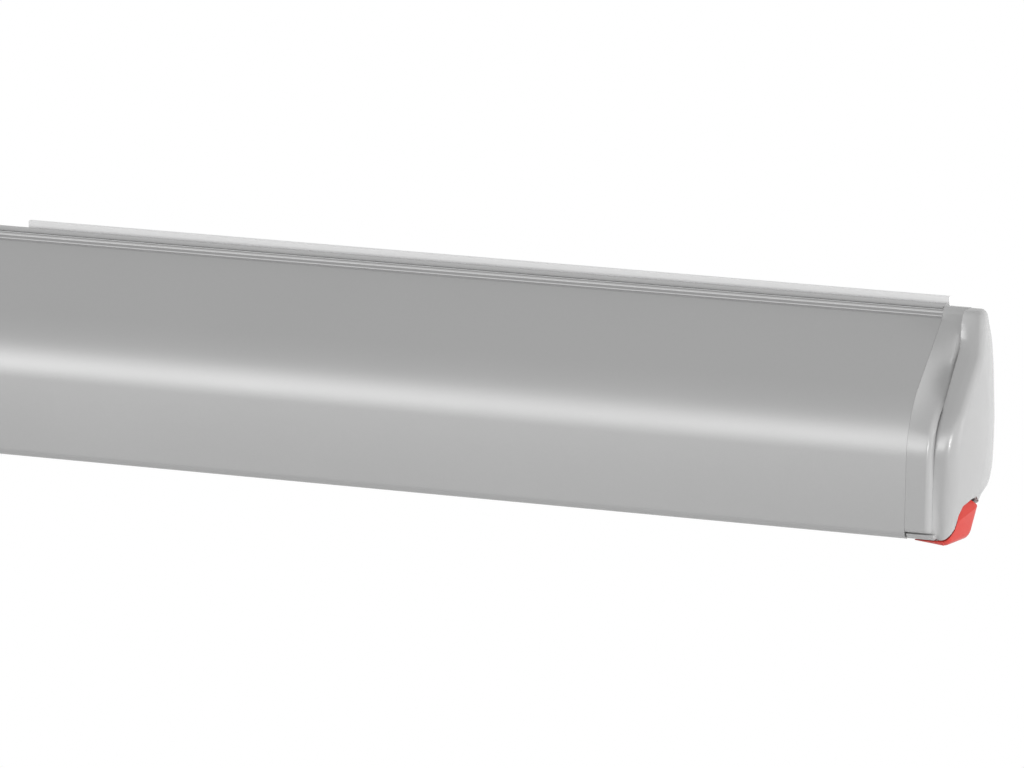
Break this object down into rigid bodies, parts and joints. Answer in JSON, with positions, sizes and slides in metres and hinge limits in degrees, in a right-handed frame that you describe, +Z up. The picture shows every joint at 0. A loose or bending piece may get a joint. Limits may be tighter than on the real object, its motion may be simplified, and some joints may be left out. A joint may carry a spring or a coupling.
{
  "type": "roll-out awning",
  "caption": "Closed cassette awning with a sliding front rail, spring roller, folding telescopic legs, stowed rafters, domed end caps and red release levers.",
  "frame": {"origin": "middle of the wall screw pattern, on the wall plane", "axes": "+X to the right along the case, -Y out from the wall, +Z up"},
  "size_m": [1.8436, 0.09, 0.1125],
  "materials": {
    "rail_paint": "satin grey paint",
    "case_paint": "satin grey paint",
    "cap_grey": "fine satin",
    "lever_red": "satin",
    "bracket_alloy": "pale anodised",
    "bare_alloy": "drawn",
    "cast_grey": "cast",
    "steel": "zinc plated",
    "spring_steel": "oiled",
    "black_plastic": "fine texture",
    "bush_plastic": "moulded",
    "seal_rubber": "matt",
    "canopy": "coated weave"
  },
  "bodies": {
    "case": {"wall_bracket_left": "bracket_alloy", "wall_bracket_right": "bracket_alloy", "end_plate_left": "cast_grey", "end_plate_right": "cast_grey", "end_cap_left": "cap_grey", "end_cap_right": "cap_grey", "lever_pin_left": "steel", "lever_pin_right": "steel", "lever_spring_left": "spring_steel", "lever_spring_right": "spring_steel", "roller_bush_left": "bush_plastic", "roller_bush_right": "bush_plastic", "case_screws": "steel", "case_profile": "case_paint", "plate_screws": "steel", "cap_screws": "steel", "spring_arbor": "steel", "top_seal": "seal_rubber"},
    "roller": {"roller_tube": "bare_alloy", "roller_journal": "steel", "spring_anchor": "black_plastic", "return_spring": "spring_steel", "canopy_roll": "canopy", "roller_plug_left": "black_plastic", "roller_plug_right": "black_plastic"},
    "lead_rail": {"lead_rail": "rail_paint", "rail_cap_screws": "steel", "canopy_sheet": "canopy", "rafter_clips": "black_plastic", "rail_cap_left": "cap_grey", "rail_cap_right": "cap_grey", "leg_bracket_left": "cast_grey", "leg_bracket_right": "cast_grey", "leg_pin_left": "steel", "leg_pin_right": "steel", "rafter_outer_left": "bare_alloy", "rafter_outer_right": "bare_alloy"},
    "lever_left": {"lever_left": "lever_red"},
    "leg_left": {"leg_knuckle_left": "black_plastic", "leg_outer_left": "bare_alloy", "leg_lock_left": "black_plastic"},
    "leg_inner_left": {"leg_inner_left": "bare_alloy", "leg_tip_left": "black_plastic", "foot_pin_left": "steel"},
    "foot_left": {"leg_foot_left": "black_plastic"},
    "rafter_inner_left": {"rafter_inner_left": "bare_alloy"},
    "lever_right": {"lever_right": "lever_red"},
    "leg_right": {"leg_knuckle_right": "black_plastic", "leg_outer_right": "bare_alloy", "leg_lock_right": "black_plastic"},
    "leg_inner_right": {"leg_inner_right": "bare_alloy", "leg_tip_right": "black_plastic", "foot_pin_right": "steel"},
    "foot_right": {"leg_foot_right": "black_plastic"},
    "rafter_inner_right": {"rafter_inner_right": "bare_alloy"}
  },
  "joints": [
    {"name": "rail_slide", "type": "slide", "parent": "case", "child": "lead_rail", "axis": [0, -1, 0], "range_m": [0, 1.75], "stiffness_N_per_m": 12, "springref_m": -2},
    {"name": "roller_spin", "type": "hinge", "parent": "case", "child": "roller", "pos_m": [0, -0.04, -0.019], "axis": [1, 0, 0], "range_deg": [0, 4300]},
    {"name": "lever_left_press", "type": "hinge", "parent": "case", "child": "lever_left", "pos_m": [-0.911, -0.062, -0.052], "axis": [1, 0, 0], "range_deg": [0, 8], "stiffness_Nm_per_rad": 0.4, "springref_deg": -8.59, "deforming": ["lever_spring_left"]},
    {"name": "leg_left_swing", "type": "hinge", "parent": "lead_rail", "child": "leg_left", "pos_m": [-0.853, -0.07, -0.0495], "axis": [0, 1, 0], "range_deg": [0, 90]},
    {"name": "leg_left_extend", "type": "slide", "parent": "leg_left", "child": "leg_inner_left", "axis": [1, 0, 0], "range_m": [0, 0.65]},
    {"name": "foot_left_tilt", "type": "hinge", "parent": "leg_inner_left", "child": "foot_left", "pos_m": [0.149, -0.07, -0.0495], "axis": [0, 1, 0], "range_deg": [0, 60]},
    {"name": "rafter_left_extend", "type": "slide", "parent": "lead_rail", "child": "rafter_inner_left", "axis": [1, 0, 0], "range_m": [0, 0.6]},
    {"name": "lever_right_press", "type": "hinge", "parent": "case", "child": "lever_right", "pos_m": [0.911, -0.062, -0.052], "axis": [1, 0, 0], "range_deg": [0, 8], "stiffness_Nm_per_rad": 0.4, "springref_deg": -8.59, "deforming": ["lever_spring_right"]},
    {"name": "leg_right_swing", "type": "hinge", "parent": "lead_rail", "child": "leg_right", "pos_m": [0.853, -0.0809, -0.0495], "axis": [0, -1, 0], "range_deg": [0, 90]},
    {"name": "leg_right_extend", "type": "slide", "parent": "leg_right", "child": "leg_inner_right", "axis": [-1, 0, 0], "range_m": [0, 0.65]},
    {"name": "foot_right_tilt", "type": "hinge", "parent": "leg_inner_right", "child": "foot_right", "pos_m": [-0.149, -0.0809, -0.0495], "axis": [0, -1, 0], "range_deg": [0, 60]},
    {"name": "rafter_right_extend", "type": "slide", "parent": "lead_rail", "child": "rafter_inner_right", "axis": [-1, 0, 0], "range_m": [0, 0.6]}
  ],
  "couplings": [
    {"joint": "roller_spin", "follows": "rail_slide", "rad_per_m": 42.553}
  ]
}
